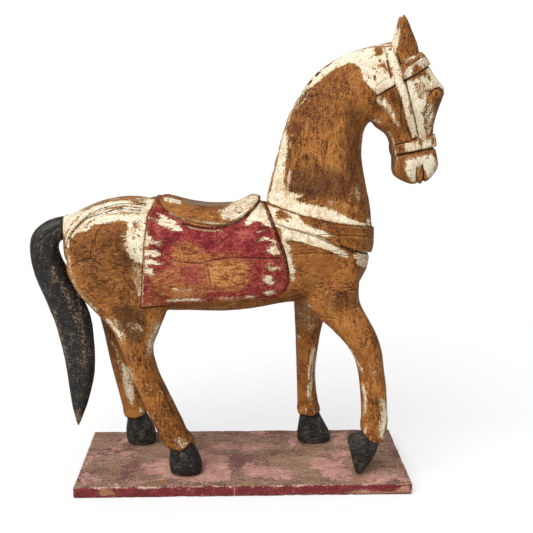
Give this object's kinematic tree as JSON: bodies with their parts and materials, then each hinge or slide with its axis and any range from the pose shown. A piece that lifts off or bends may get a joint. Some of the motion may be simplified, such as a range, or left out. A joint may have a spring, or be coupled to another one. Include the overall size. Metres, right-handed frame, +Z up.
{
  "type": "carved wooden horse",
  "caption": "Standing horse carved in wood with saddle, saddle cloth and bridle, in worn paint, with a separate black tail, fixed on a rectangular plank.",
  "frame": {"origin": "middle of the plank's underside", "axes": "+X along the plank towards the horse's nose, +Y towards the horse's left side, +Z up"},
  "size_m": [0.7592, 0.25, 0.8637],
  "materials": {
    "painted_wood": "worn cream and crimson paint over brown wood",
    "black_paint": "worn black paint",
    "plank_paint": "worn rose and dark red paint"
  },
  "bodies": {
    "root": {"base_plank": "plank_paint", "horse": "painted_wood", "tail": "black_paint"}
  },
  "joints": []
}
